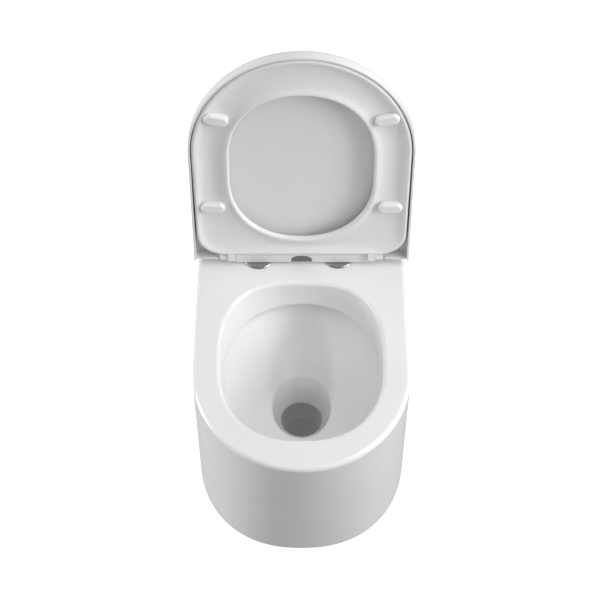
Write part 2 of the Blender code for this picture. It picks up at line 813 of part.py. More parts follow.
def lid():
    levels = (
        (LID_LIP, 1.0),
        (LID_LIP + 1.2, 0.0),
        (0.0, 0.0),
        (5.0, 1.0),
        (9.0, 3.8),
        (11.6, 8.0),
        (LID_TOP, 14.0),
    )
    shell = loft([flat_ring(lid_plan(inset, LID_REAR), z) for z, inset in levels])
    inside = (
        (LID_LIP - 1, LID_SKIRT - 0.4),
        (0.0, LID_SKIRT),
        (6.0, LID_SKIRT + 2.5),
        (LID_INSIDE, LID_SKIRT + 7.5),
    )
    cut(shell, loft([flat_ring(lid_plan(inset, LID_REAR - 3), z) for z, inset in inside]))
    for side in (-1, 1):
        ends = sorted((side * 142.0, side * 180.0))
        add(shell, block((ends[0], 0.6, -10.0), (ends[1], 3.6, LID_INSIDE + 1)))
        ends = sorted((side * LID_LUG[0], side * LID_LUG[1]))
        web = block((ends[0], -8.0, -1.3), (ends[1], 3.2, LID_INSIDE + 1))
        add(shell, add(knuckle(LID_LUG, side, LID_KNUCKLE), web))
        cut(shell, pin_hole(LID_LUG, side))
    places = [(side * x, -s) for side in (-1, 1) for x, s in LID_BUFFERS]
    for at in places:
        cut(shell, turned(((6.3, 0.0), (6.3, LID_INSIDE + 1.0)), at, "z", 14))
    origin = (0.0, HINGE_Y, AXIS_Z)
    finish(place(shell, OPEN_TURN), "lid", "duroplast", origin)
    names = ("left_front", "left_rear", "right_front", "right_rear")
    for name, at in zip(names, places):
        pad = turned(((6.0, 5.3), (6.0, LID_INSIDE + 0.7)), at, "z", 14)
        finish(place(pad, OPEN_TURN), f"{name}_lid_buffer", "buffer", origin)


def main():
    clear_scene()
    pan_body()
    plumbing()
    for label, side in (("left", -1), ("right", 1)):
        side_fixing(label, side)
        hinge_end(label, side)
    seat_fixing("left", -1, (-5.2, -5.0))
    seat_fixing("right", 1, (-5.2, -6.2))
    hinge_bar()
    release_button()
    button_spring()
    latch("left", False)
    latch("right", True)
    seat()
    lid()


main()
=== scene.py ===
import json
import math

import bmesh
import bpy
from mathutils import Matrix, Vector


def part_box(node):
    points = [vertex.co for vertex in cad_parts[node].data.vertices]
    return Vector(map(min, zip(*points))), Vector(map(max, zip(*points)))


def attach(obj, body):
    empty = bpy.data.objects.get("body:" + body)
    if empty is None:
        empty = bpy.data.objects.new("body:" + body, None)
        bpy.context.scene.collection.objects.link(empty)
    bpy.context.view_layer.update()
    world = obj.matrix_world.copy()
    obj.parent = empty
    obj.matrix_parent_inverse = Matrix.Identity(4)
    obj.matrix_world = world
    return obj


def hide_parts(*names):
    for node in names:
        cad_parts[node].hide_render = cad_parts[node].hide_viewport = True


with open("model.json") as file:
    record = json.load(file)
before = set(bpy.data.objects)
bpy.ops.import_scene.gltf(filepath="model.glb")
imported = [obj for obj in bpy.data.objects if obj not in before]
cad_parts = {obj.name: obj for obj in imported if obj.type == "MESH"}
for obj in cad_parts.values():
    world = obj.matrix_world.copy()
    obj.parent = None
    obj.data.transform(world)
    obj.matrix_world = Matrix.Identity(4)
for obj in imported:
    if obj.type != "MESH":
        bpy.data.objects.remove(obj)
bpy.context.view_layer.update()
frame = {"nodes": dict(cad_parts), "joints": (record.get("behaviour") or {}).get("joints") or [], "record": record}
JOINTS = {j["name"]: j for j in frame["joints"]}
AXIS = Vector(JOINTS["lid_hinge"]["pos_m"])
OPEN_TURN = JOINTS["lid_hinge"]["range_deg"][1]
PAN_LOW, PAN_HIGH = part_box("pan_body")
HINGE_Y = AXIS.y * 1000
AXIS_Z = AXIS.z * 1000
PAN_HEIGHT = PAN_HIGH.z * 1000
REACH = HINGE_Y - PAN_LOW.y * 1000
REAR = HINGE_Y - PAN_HIGH.y * 1000
MM = 0.001


# ---------------------------------------------------------------- meshes


def new_object(name, verts, faces, smooth=True):
    mesh = bpy.data.meshes.new(name)
    mesh.from_pydata([Vector(v) * MM for v in verts], [], faces)
    work = bmesh.new()
    work.from_mesh(mesh)
    bmesh.ops.recalc_face_normals(work, faces=work.faces)
    work.to_mesh(mesh)
    work.free()
    for polygon in mesh.polygons:
        polygon.use_smooth = smooth
    obj = bpy.data.objects.new(name, mesh)
    bpy.context.scene.collection.objects.link(obj)
    return obj


def loft(rings, name="tool", caps=True, closed=False):
    count = len(rings[0])
    verts = [p for ring in rings for p in ring]
    faces = []
    for level in range(len(rings) if closed else len(rings) - 1):
        low = level * count
        high = (level + 1) % len(rings) * count
        for i in range(count):
            j = (i + 1) % count
            faces.append((low + i, low + j, high + j, high + i))
    if caps and not closed:
        faces.append(tuple(range(count)))
        faces.append(tuple(range(len(verts) - count, len(verts))))
    return new_object(name, verts, faces)


TURNS = {
    "x": lambda a, b, c: (c, a, b),
    "y": lambda a, b, c: (a, c, b),
    "z": lambda a, b, c: (a, b, c),
}


def circle(radius, middle=(0.0, 0.0), count=48):
    turns = [2 * math.pi * i / count for i in range(count)]
    return [(middle[0] + radius * math.cos(t), middle[1] + radius * math.sin(t)) for t in turns]


def turned(steps, middle, axis, count=48, name="tool"):
    turn = TURNS[axis]
    rings = [[turn(a, b, along) for a, b in circle(r, middle, count)] for r, along in steps]
    return loft(rings, name)


def extrude(outline, low, high, axis, name="tool"):
    turn = TURNS[axis]
    return loft([[turn(a, b, c) for a, b in outline] for c in (low, high)], name)


def block(low, high, name="tool"):
    (x0, y0, z0), (x1, y1, z1) = low, high
    return extrude(((x0, y0), (x1, y0), (x1, y1), (x0, y1)), z0, z1, "z", name)


def bake(obj):
    """Turns an object's modifiers into its mesh."""
    graph = bpy.context.evaluated_depsgraph_get()
    mesh = bpy.data.meshes.new_from_object(obj.evaluated_get(graph))
    obj.modifiers.clear()
    obj.data = mesh
    return obj


def combine(target, tool, operation):
    change = target.modifiers.new("join", "BOOLEAN")
    change.operation = operation
    change.solver = "EXACT"
    change.object = tool
    bake(target)
    bpy.data.objects.remove(tool, do_unlink=True)
    return target


def add(target, *tools):
    for tool in tools:
        combine(target, tool, "UNION")
    return target


def cut(target, *tools):
    for tool in tools:
        combine(target, tool, "DIFFERENCE")
    return target


def soften(obj, width=0.8, segments=3, angle=35.0):
    """Rounds the sharp edges as a moulding's are."""
    change = obj.modifiers.new("edges", "BEVEL")
    change.width = width * MM
    change.segments = segments
    change.limit_method = "ANGLE"
    change.angle_limit = math.radians(angle)
    change.harden_normals = False
    change.use_clamp_overlap = True
    return bake(obj)


def even(obj, angle=40.0):
    """Smooth shading that keeps the large faces flat."""
    for polygon in obj.data.polygons:
        polygon.use_smooth = True
    obj.data.set_sharp_from_angle(angle=math.radians(angle))
    change = obj.modifiers.new("shading", "WEIGHTED_NORMAL")
    change.keep_sharp = True
    change.weight = 90
    return bake(obj)


def at_hinge(obj, open_turn=0.0):
    raised = Matrix.Rotation(math.radians(-open_turn), 4, "X")
    obj.data.transform(Matrix.Translation(AXIS) @ raised)
    return obj


def piece(obj, name, body, material, *nodes):
    """Names a piece, lets it ride on its body and stand for its CAD nodes."""
    obj.name = name
    obj.data.name = name
    obj.data.materials.clear()
    obj.data.materials.append(MATERIALS[material])
    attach(obj, body)
    if nodes:
        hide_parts(*nodes)
    return obj


# ---------------------------------------------------------------- materials


class Nodes:
    """A small helper for a material's node tree."""

    def __init__(self, name):
        self.material = bpy.data.materials.new(name)
        self.material.use_nodes = True
        self.tree = self.material.node_tree
        self.shader = self.tree.nodes["Principled BSDF"]
        self.place = self.add("ShaderNodeTexCoord").outputs["Object"]

    def add(self, kind, **settings):
        node = self.tree.nodes.new(kind)
        for key, value in settings.items():
            setattr(node, key, value)
        return node

    def link(self, a, b):
        self.tree.links.new(a, b)

    def noise(self, scale, detail=3.0, rough=0.5, stretch=None):
        node = self.add("ShaderNodeTexNoise")
        node.inputs["Scale"].default_value = scale
        node.inputs["Detail"].default_value = detail
        node.inputs["Roughness"].default_value = rough
        source = self.place
        if stretch:
            mapping = self.add("ShaderNodeMapping")
            mapping.inputs["Scale"].default_value = stretch
            self.link(self.place, mapping.inputs["Vector"])
            source = mapping.outputs["Vector"]
        self.link(source, node.inputs["Vector"])
        return node.outputs["Fac"]

    def ramp(self, value, low, high, start=0.3, end=0.7):
        node = self.add("ShaderNodeMapRange")
        node.inputs["From Min"].default_value = start
        node.inputs["From Max"].default_value = end
        node.inputs["To Min"].default_value = low
        node.inputs["To Max"].default_value = high
        self.link(value, node.inputs["Value"])
        return node.outputs["Result"]

    def math(self, operation, a, b):
        node = self.add("ShaderNodeMath", operation=operation)
        for socket, value in zip(node.inputs, (a, b)):
            if isinstance(value, float):
                socket.default_value = value
            else:
                self.link(value, socket)
        return node.outputs[0]

    def length(self, a, b):
        squares = self.math("ADD", self.math("MULTIPLY", a, a), self.math("MULTIPLY", b, b))
        return self.math("SQRT", squares, 0.0)

    def mix(self, factor, a, b, kind="MIX"):
        node = self.add("ShaderNodeMix", data_type="RGBA", blend_type=kind)
        if isinstance(factor, float):
            node.inputs[0].default_value = factor
        else:
            self.link(factor, node.inputs[0])
        for socket, value in ((node.inputs[6], a), (node.inputs[7], b)):
            if isinstance(value, tuple):
                socket.default_value = (*value, 1.0)
            else:
                self.link(value, socket)
        return node.outputs[2]

    def bump(self, height, strength, distance, before=None):
        node = self.add("ShaderNodeBump")
        node.inputs["Strength"].default_value = strength
        node.inputs["Distance"].default_value = distance
        self.link(height, node.inputs["Height"])
        if before:
            self.link(before, node.inputs["Normal"])
        return node.outputs["Normal"]

    def set(self, **values):
        for key, value in values.items():
            socket = self.shader.inputs[key.replace("_", " ")]
            if isinstance(value, (int, float)):
                socket.default_value = value
            elif isinstance(value, tuple):
                socket.default_value = (*value, 1.0)
            else:
                self.link(value, socket)


# Painted shade and a faint painted glow inside the trapway: these limits set where the glaze is darkened and made
# to glow.
SHADE_HALF = (0.0385, 0.0395)  # the shade fades out between these radii
BEND_TOP = 0.128
SHADE_RISE = (0.038, 0.0425)  # and between these heights above the bend's top


def trap_shade_mask(m):
    """How far a point lies down inside the trapway: the mask for the painted shade that darkens the glaze there
    and for the faint painted glow.
    """
    axis = m.add("ShaderNodeVectorMath", operation="SUBTRACT")
    axis.inputs[1].default_value = (0.0, (HINGE_Y - SUMP_S + TRAP_BEND) * MM, BEND_TOP)
    m.link(m.place, axis.inputs[0])
    parts = m.add("ShaderNodeSeparateXYZ")
    m.link(axis.outputs[0], parts.inputs[0])
    low = m.math("MINIMUM", parts.outputs[2], 0.0)
    bend = m.length(parts.outputs[1], low)
    away = m.length(parts.outputs[0], m.math("SUBTRACT", bend, TRAP_BEND * MM))
    within = m.ramp(away, 1.0, 0.0, *SHADE_HALF)
    deep = m.ramp(parts.outputs[2], 1.0, 0.0, *SHADE_RISE)
    return m.math("MULTIPLY", within, deep)


def glaze():
    """Vitreous china: a clear glaze over a white body, faintly wavy, with tiny pinholes; inside the trapway,
    painted shade and a faint painted glow.
    """
    m = Nodes("ceramic")
    cloud = m.ramp(m.noise(9.0, 4.0), 0.0, 1.0)
    colour = m.mix(cloud, (0.80, 0.80, 0.795), (0.83, 0.83, 0.825))
    fleck = m.ramp(m.noise(900.0, 1.0), 0.0, 0.05, 0.72, 0.8)
    colour = m.mix(fleck, colour, (0.62, 0.61, 0.58))
    # painted shade: the trapway's inside is darkened to near black, standing in for the shade deep in the trap,
    # not the china's own colour
    painted_shade = trap_shade_mask(m)
    colour = m.mix(painted_shade, colour, (0.045, 0.045, 0.046))
    # painted glow: a faint emission on the china there, which evens the painted shade into a flat grey
    painted_glow = m.ramp(painted_shade, 0.0, 0.115, 0.0, 1.0)
    wave = m.bump(m.noise(14.0, 2.0), 0.03, 0.004)
    orange = m.bump(m.noise(260.0, 2.0), 0.025, 0.0005, wave)
    m.set(
        Base_Color=colour,
        Roughness=m.ramp(m.noise(30.0, 2.0), 0.2, 0.24),
        Normal=orange,
        # the emission is the painted glow inside the trapway; elsewhere its strength is zero
        Emission_Color=(1.0, 1.0, 1.0),
        Emission_Strength=painted_glow,
        Coat_Weight=0.12,
        Coat_Roughness=0.1,
        IOR=1.5,
    )
    return m.material


def moulded(name, low, high, rough, grain=1.0):
    """White moulded plastic: even colour, slight flow marks and a satin to glossy skin."""
    m = Nodes(name)
    cloud = m.ramp(m.noise(12.0, 4.0, 0.55, (1.0, 1.0, 0.35)), 0.0, 1.0)
    colour = m.mix(cloud, low, high)
    flow = m.bump(m.noise(18.0, 2.0), 0.05 * grain, 0.003)
    skin = m.bump(m.noise(700.0, 2.0), 0.05 * grain, 0.0003, flow)
    m.set(
        Base_Color=colour,
        Roughness=m.ramp(m.noise(45.0, 5.0), rough * 0.85, rough * 1.2),
        Normal=skin,
        IOR=1.49,
    )
    return m.material


def polished(name, low, high, rough, stretch):
    """Bright metal with fine polishing lines and a little tarnish."""
    m = Nodes(name)
    cloud = m.ramp(m.noise(60.0, 4.0), 0.0, 1.0)
    lines = m.noise(900.0, 3.0, 0.6, stretch)
    m.set(
        Base_Color=m.mix(cloud, low, high),
        Roughness=m.ramp(lines, rough * 0.7, rough * 1.5),
        Normal=m.bump(lines, 0.05, 0.0002),
        Metallic=1.0,
    )
    return m.material


# ---------------------------------------------------------------- the pan

RIM_HALF = 180.0
RIM_REAR_HALF = 175.5
RIM_STRAIGHT = 234.0
RIM_ROUND = 8.0
FOOT_REACH = 332.0
FOOT_HALF = 184.0
FOOT_REAR_HALF = 179.0
FOOT_STRAIGHT = 124.0
FOOT_POWER = 2.27
WALL = 12.0
BOWL_WALL = 10.0
SUMP_S = 171.5
TRAP_HALF = 35.0
TRAP_WALL = 8.0
TRAP_BEND = 48.0
CREST_BEND = 46.0
DROP_TURN = 40.0
OUTLET_HALF = 51.0
OUTLET_BORE = 44.0
OUTLET_LONG = 25.0
INLET_Z = 320.0
INLET_HALF = 30.0
INLET_BORE = 23.0
INLET_END_Y = 225.0
SLOT_Z = 345.0
BOLT_X = JOINTS["right_disc_turn"]["pos_m"][0] * 1000

# height, back edge, front edge, half width, power behind, power in front, valley
BOWL_LEVELS = (
    (372.0, 54.0, 366.8, 133.8, 2.4, 2.4, 0.0),
    (356.0, 57.6, 366.3, 132.8, 2.25, 2.4, 0.0),
    (351.8, 58.3, 366.2, 132.6, 2.2, 2.4, 0.0),
    (349.5, 50.0, 366.0, 132.4, 2.2, 2.4, 0.0),
    (340.0, 50.0, 365.5, 131.8, 2.15, 2.3, 0.0),
    (326.0, 58.0, 363.0, 129.5, 2.0, 2.3, 3.5),
    (296.0, 84.0, 350.0, 121.0, 1.85, 2.2, 14.0),
    (262.0, 119.0, 318.0, 106.0, 1.8, 2.1, 28.0),
    (240.0, 137.0, 281.0, 86.0, 1.8, 2.0, 30.0),
    (231.0, 139.0, 263.0, 70.0, 1.8, 2.0, 25.0),
    (225.0, 134.0, 251.0, 57.0, 1.9, 2.0, 15.0),
    (220.0, 122.0, 244.5, 50.5, 2.0, 2.0, 1.0),
    (205.0, 127.0, 235.0, 47.5, 2.0, 2.0, 0.0),
    (190.0, 131.0, 225.0, 43.5, 2.0, 2.0, 0.0),
    (176.0, 134.5, 213.0, 39.0, 2.0, 2.0, 0.0),
    (166.0, 137.0, 206.0, 35.0, 2.0, 2.0, 0.0),
)
VALLEY_HALF = 58.0
BOWL_SINK = 5.0
MOUTH = (51.3, 367.2, 134.7, 2.7, 2.4, 0.0)
LIP_ROUND = 8.0


MATERIALS = {
    "ceramic": glaze(),
    "duroplast": moulded("duroplast", (0.79, 0.79, 0.785), (0.82, 0.82, 0.815), 0.2),
    "buffer": moulded("buffer", (0.80, 0.80, 0.795), (0.84, 0.84, 0.835), 0.42, 2.0),
    "hinge_plastic": moulded("hinge_plastic", (0.77, 0.77, 0.765), (0.8, 0.8, 0.795), 0.3),
    "button_grey": moulded("button_grey", (0.135, 0.135, 0.14), (0.165, 0.165, 0.17), 0.42, 2.5),
    "chrome": polished("chrome", (0.36, 0.365, 0.38), (0.42, 0.425, 0.44), 0.16, (1.0, 1.0, 14.0)),
    "steel": polished("steel", (0.42, 0.43, 0.45), (0.56, 0.56, 0.55), 0.3, (1.0, 8.0, 1.0)),
    "nylon": moulded("nylon", (0.60, 0.60, 0.575), (0.68, 0.68, 0.66), 0.45, 2.0),
    "rubber": moulded("rubber", (0.022, 0.022, 0.023), (0.035, 0.035, 0.036), 0.65, 3.0),
    "pipe_plastic": moulded("pipe_plastic", (0.70, 0.70, 0.69), (0.76, 0.76, 0.75), 0.35, 1.5),
}


def between(a, b, t):
    return a + (b - a) * t


def plan(half, straight, reach, rear, rear_half, power=2.0, corner=0.0, nose=44, side=16, back=0):
    """A D in plan, from the middle of the back round by the right side, as (x, s)."""
    right = [(rear_half * i / back, rear) for i in range(1, back)] if back else []
    if corner:
        for i in range(11):
            t = math.pi / 2 * i / 10
            x = rear_half - corner + corner * math.sin(t)
            right.append((x, rear + corner - corner * math.cos(t)))
    else:
        right.append((rear_half, rear))
    start = right[-1][1]
    for i in range(1, side):
        t = i / side
        right.append((between(rear_half, half, t), between(start, straight, t)))
    for i in range(nose):
        t = math.pi / 2 * i / nose
        across = half * math.cos(t) ** (2 / power)
        right.append((across, straight + (reach - straight) * math.sin(t) ** (2 / power)))
    left = [(-x, s) for x, s in reversed(right)]
    return ([(0.0, rear)] if back else []) + right + [(0.0, reach)] + left


def wall_plan(z, inset=0.0, rear=REAR, **detail):
    upright = PAN_HEIGHT - RIM_ROUND
    t = max(0.0, (upright - z) / upright)
    return plan(
        between(RIM_HALF, FOOT_HALF, t) - inset,
        between(RIM_STRAIGHT, FOOT_STRAIGHT, t),
        between(REACH, FOOT_REACH, t) - inset,
        rear,
        between(RIM_REAR_HALF, FOOT_REAR_HALF, t) - inset,
        between(2.0, FOOT_POWER, t),
        **detail,
    )


def at_height(points, z):
    return [(x, HINGE_Y - s, z) for x, s in points]


def smooth_levels(levels, steps):
    """More levels, on a curve through the given ones that never overshoots."""
    made = []
    for i in range(len(levels) - 1):
        before = levels[max(i - 1, 0)]
        a = levels[i]
        b = levels[i + 1]
        after = levels[min(i + 2, len(levels) - 1)]
        count = max(2, round((a[0] - b[0]) / steps))
        for k in range(count):
            t = k / count
            row = [between(a[0], b[0], t)]
            for j in range(1, len(a)):
                row.append(hermite(before, a, b, after, j, t))
            made.append(tuple(row))
    made.append(levels[-1])
    return made


def slope(p, q, r, j):
    """A tangent per unit of height, flat where the values turn back."""
    left = (q[j] - p[j]) / (q[0] - p[0]) if q[0] != p[0] else None
    right = (r[j] - q[j]) / (r[0] - q[0]) if r[0] != q[0] else None
    if left is None or right is None:
        return left if right is None else right
    if left * right <= 0:
        return 0.0
    return 2 * left * right / (left + right)


def hermite(before, a, b, after, j, t):
    width = b[0] - a[0]
    ma = slope(before, a, b, j) * width
    mb = slope(a, b, after, j) * width
    t2 = t * t
    t3 = t2 * t
    start = a[j] * (2 * t3 - 3 * t2 + 1) + ma * (t3 - 2 * t2 + t)
    return start + b[j] * (3 * t2 - 2 * t3) + mb * (t3 - t2)


def bowl_point(level, turn, grow=0.0):
    """A point of the bowl's outline in the direction turn from its own middle."""
    _, back, front, half, behind, ahead, valley = level
    middle = (back + front) / 2
    c = math.cos(turn)
    s = math.sin(turn)
    power = ahead if s > 0 else behind
    wide = half + grow
    deep = (front - back) / 2 + grow
    spread = (abs(c) / wide) ** power + (abs(s) / deep) ** power
    reach = spread ** (-1 / power)
    x = reach * c
    trough = valley * max(0.0, 1 - (x / VALLEY_HALF) ** 4) ** 2 if s < 0 else 0.0
    return (x, middle + reach * s - trough)


def bowl_ring(level, turns, grow=0.0):
    return at_height([bowl_point(level, t, grow) for t in turns], level[0])


def pan_skin():
    """Outside, rim, deck and bowl as one even skin, closed at the floor and at the sump."""
    detail = {"back": 14}
    heights = [0.0, 0.7, 1.5] + [20.0 * i for i in range(1, 19)] + [372.0, 384.0]
    rings = []
    for z in heights:
        inset = 1.5 - math.sqrt(max(0.0, 2.25 - (1.5 - z) ** 2)) if z < 1.5 else 0.0
        rings.append(at_height(wall_plan(z, inset, **detail), z))
    for i in range(9):
        t = math.pi / 2 * i / 8
        z = PAN_HEIGHT - RIM_ROUND * (1 - math.sin(t))
        inset = RIM_ROUND * (1 - math.cos(t))
        rear = REAR + 3.0 * (1 - math.cos(t))
        rings.append(at_height(wall_plan(z, inset, rear, **detail), z))
    edge = rings[-1]
    middle = (MOUTH[0] + MOUTH[1]) / 2
    turns = [math.atan2(HINGE_Y - y - middle, x) for x, y, _ in edge]
    lips = []
    for i in range(9):
        t = math.pi / 2 * i / 8
        grow = LIP_ROUND * (1 - math.sin(t))
        z = PAN_HEIGHT - LIP_ROUND * (1 - math.cos(t))
        lips.append(bowl_ring((z, *MOUTH), turns, grow))
    for i in range(1, 8):
        t = i / 8
        rings.append([tuple(between(p, q, t) for p, q in zip(a, b)) for a, b in zip(edge, lips[0])])
    rings += lips
    levels = [(PAN_HEIGHT - LIP_ROUND, *MOUTH)] + list(BOWL_LEVELS)
    for level in smooth_levels(levels, 5.0)[1:]:
        rings.append(bowl_ring(level, turns))
    return loft(rings, "pan")


def bowl_outside():
    turns = [2 * math.pi * i / 72 for i in range(72)]
    levels = [(392.0, 50.0, 367.0, 133.0, 2.4, 2.4, 0.0)]
    for level in BOWL_LEVELS:
        z = level[0] if level[0] > 300.0 else level[0] - BOWL_SINK
        if z <= 352.0:
            levels.append((z, *level[1:]))
    return loft([bowl_ring(level, turns, BOWL_WALL) for level in levels])


def trap_path(fine=3):
    y = HINGE_Y - SUMP_S
    points = [(y, 172.0), (y, 150.0), (y, 128.0)]
    count = 8 * fine
    for i in range(1, count + 1):
        t = math.pi * i / count
        points.append((y + TRAP_BEND - TRAP_BEND * math.cos(t), 128.0 - TRAP_BEND * math.sin(t)))
    up = y + 2 * TRAP_BEND
    turn = math.radians(90.0 + DROP_TURN)
    count = 7 * fine
    for i in range(count + 1):
        t = turn * i / count
        points.append((up + CREST_BEND * (1 - math.cos(t)), 162.0 + CREST_BEND * math.sin(t)))
    end_y, end_z = points[-1]
    drop = math.radians(DROP_TURN)
    count = 4 * fine
    for i in range(1, count + 1):
        t = drop * i / count
        run = CREST_BEND * (math.sin(drop) - math.sin(drop - t))
        fall = CREST_BEND * (math.cos(drop - t) - math.cos(drop))
        points.append((end_y + run, end_z - fall))
    return points


def tube(path, radius, count=48):
    rings = []
    for i, (y, z) in enumerate(path):
        before = Vector(path[max(i - 1, 0)])
        after = Vector(path[min(i + 1, len(path) - 1)])
        along = (after - before).normalized()
        rings.append([(a, y - along.y * b, z + along.x * b) for a, b in circle(radius, count=count)])
    return loft(rings)


TRAP = trap_path()
OUTLET_Y, OUTLET_Z = TRAP[-1]


def spigot(radius, start, end):
    return turned(((radius, start), (radius, end)), (0.0, OUTLET_Z), "y", 64)


def slot_ring(y, z, wide, high, count=48):
    ring = []
    for a, b in circle(1.0, count=count):
        ring.append((wide * math.copysign(abs(a) ** 0.7, a), y, z + high * b))
    return ring


def flush_passage(grow):
    back = HINGE_Y - 50.0
    bore = INLET_BORE + grow
    rings = [
        slot_ring(back - 7.0 + grow, SLOT_Z, 36.0 + grow, 3.6 + grow),
        slot_ring(back + 13.0, SLOT_Z, 36.0 + grow, 3.8 + grow),
        [(a, 178.0, INLET_Z + b) for a, b in circle(bore)],
        [(a, INLET_END_Y + 2 - grow * 0.3, INLET_Z + b) for a, b in circle(bore)],
    ]
    return loft(rings)


def shroud_hollow():
    top = PAN_HEIGHT - WALL
    rings = []
    for z in (0.0, 97.0, 194.0, 291.0, top):
        rings.append(at_height(wall_plan(z, WALL, REAR - 6), z if z else -2.0))
    return loft(rings)


def pan():
    hollow = cut(
        shroud_hollow(),
        bowl_outside(),
        tube(TRAP, TRAP_HALF + TRAP_WALL),
        spigot(OUTLET_HALF, OUTLET_Y - 8, OUTLET_Y + OUTLET_LONG),
        flush_passage(INLET_HALF - INLET_BORE),
    )
    body = cut(
        pan_skin(),
        hollow,
        tube(TRAP, TRAP_HALF),
        spigot(OUTLET_BORE, OUTLET_Y - 1, OUTLET_Y + OUTLET_LONG + 2),
        flush_passage(0.0),
    )
    low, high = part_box("right_side_cap")
    seat_x = low.x * 1000 - 0.3
    middle = ((low.y + high.y) * 500, (low.z + high.z) * 500)
    for side in (-1, 1):
        cut(body, turned(((8.0, 384.0), (8.0, 402.0)), (side * BOLT_X, HINGE_Y), "z"))
        ends = sorted((side * 160.0, side * 190.0))
        cut(body, turned(((4.0, ends[0]), (4.0, ends[1])), middle, "x"))
        ends = sorted((side * seat_x, side * 190.0))
        cut(body, turned(((11.5, ends[0]), (11.5, ends[1])), middle, "x"))
    piece(even(body), "pan_china", "pan", "ceramic", "pan_body")


# ---------------------------------------------------------------- seat and lid

SEAT_HALF = 180.3
SEAT_REAR_HALF = 176.8
SEAT_REAR = 8.8
SEAT_REACH = 427.0
SEAT_CORNER = 44.0
SEAT_MIDDLE = 206.0
HOLE_BACK = 46.0
HOLE_FRONT = 353.0
HOLE_HALF = 118.5
HOLE_STRAIGHT = (175.0, 225.0)
NOTCH = (124.6, 138.8)
NOTCH_REACH = 11.6
LID_HALF = 185.6
LID_REAR_HALF = 182.5
LID_REAR = -4.0
LID_REACH = 432.4
LID_SKIRT = 4.3
LID_LIP = -14.0
LID_INSIDE = 9.2
SEAT_LUG = (112.0, 125.0)
SEAT_KNUCKLE = 8.0
LID_KNUCKLE = 11.0
LID_LUG = (125.1, 138.4)
PIN_BORE = 4.3
RIM_TOP = PAN_HEIGHT - AXIS_Z
FRONT_BUFFER = (137.5, 305.5, 15.0)
REAR_BUFFER = (147.6, 116.0, 0.0)
BUFFER_LONG = 20.5
BUFFER_HALF = 10.5
BUFFER_TOP = -5.2
LID_BUFFERS = ((130.0, 318.0), (147.0, 112.0))

SEAT_SECTION = (
    ("outer", 0.0, -9.0),
    ("outer", 0.4, -11.4),
    ("outer", 2.0, -13.5),
    ("outer", 4.4, -14.0),
    ("outer", 7.0, -13.4),
    ("outer", 11.0, -11.0),
    ("outer", 16.0, -8.5),
    ("share", 0.42, -6.6),
    ("share", 0.58, -6.6),
    ("inner", 15.0, -8.5),
    ("inner", 10.0, -11.0),
    ("inner", 6.2, -13.0),
    ("inner", 3.2, -13.4),
    ("inner", 0.9, -11.9),
    ("inner", 0.0, -8.8),
    ("inner", 0.1, -5.6),
    ("inner", 1.3, -3.4),
    ("inner", 3.6, -2.0),
    ("inner", 8.0, -0.6),
    ("inner", 14.0, 1.4),
    ("inner", 21.0, 3.5),
    ("share", 0.5, 4.9),
    ("outer", 16.0, 5.0),
    ("outer", 9.0, 5.0),
    ("outer", 4.0, 4.4),
    ("outer", 0.9, 2.5),
    ("outer", 0.0, 0.0),
)


def ray_hit(points, middle, turn):
    dx = math.cos(turn)
    ds = math.sin(turn)
    for (xa, sa), (xb, sb) in zip(points, points[1:] + points[:1]):
        ex = xb - xa
        es = sb - sa
        spread = dx * es - ds * ex
        if abs(spread) < 1e-9:
            continue
        fs = sa - middle
        reach = (xa * es - fs * ex) / spread
        share = (xa * ds - fs * dx) / spread
        if reach > 0 and -1e-9 <= share <= 1 + 1e-9:
            return (reach * dx, middle + reach * ds)
    raise ValueError("the outline has a gap")


def hole_plan(count=288):
    """Straight sided, with near elliptical ends."""
    ring = []
    for i in range(count):
        t = 2 * math.pi * i / count
        c = math.cos(t)
        s = math.sin(t)
        x = HOLE_HALF * math.copysign(abs(c) ** 0.93, c)
        back, front = HOLE_STRAIGHT
        if s < 0:
            along = back - (back - HOLE_BACK) * abs(s) ** 0.93
        else:
            along = front + (HOLE_FRONT - front) * s**0.93
        ring.append((x, along))
    return ring


def seat_shape():
    outer = plan(SEAT_HALF, RIM_STRAIGHT, SEAT_REACH, SEAT_REAR, SEAT_REAR_HALF, 2.0, SEAT_CORNER)
    hole = hole_plan()
    rings = []
    for i in range(144):
        turn = 2 * math.pi * (i + 0.5) / 144
        edge = Vector(ray_hit(outer, SEAT_MIDDLE, turn))
        rim = Vector(ray_hit(hole, SEAT_MIDDLE, turn))
        width = (rim - edge).length
        ring = []
        for kind, value, z in SEAT_SECTION:
            share = {"outer": value / width, "share": value, "inner": 1 - value / width}[kind]
            at = edge.lerp(rim, share)
            ring.append((at.x, -at.y, z))
        rings.append(ring)
    shape = loft(rings, "seat", closed=True)
    change = shape.modifiers.new("smooth", "SUBSURF")
    change.levels = 1
    change.render_levels = 1
    return bake(shape)


def pill(middle, slant, long_half, radius, low, high, crown=0.0):
    outline = []
    for i in range(32):
        t = -math.pi / 2 + math.pi * (i % 16) / 15 + (math.pi if i > 15 else 0)
        end = (long_half - radius) * (1 if i < 16 else -1)
        outline.append((end, radius * math.cos(t), radius * math.sin(t)))
    turn = math.radians(slant)
    c = math.cos(turn)
    s = math.sin(turn)
    steps = [(0.0, high)]
    for i in range(6):
        t = math.pi / 2 * i / 5
        steps.append((crown * (1 - math.cos(t)), low + crown * (1 - math.sin(t))))
    rings = []
    for inset, z in steps if crown else ((0.0, high), (0.0, low)):
        scale = (radius - inset) / radius
        ring = []
        for end, a, b in outline:
            p = end + a * scale
            q = b * scale
            ring.append((middle[0] + p * c - q * s, middle[1] + p * s + q * c, z))
        rings.append(ring)
    return loft(rings)


def seat_buffer_places():
    for label, side in (("left", -1), ("right", 1)):
        for spot, (x, s, slant) in (("front", FRONT_BUFFER), ("rear", REAR_BUFFER)):
            yield f"{label}_{spot}", (side * x, -s), -side * slant


def knuckle(span, side, radius):
    ends = sorted((side * span[0], side * span[1]))
    return turned(((radius, ends[0]), (radius, ends[1])), (0.0, 0.0), "x")


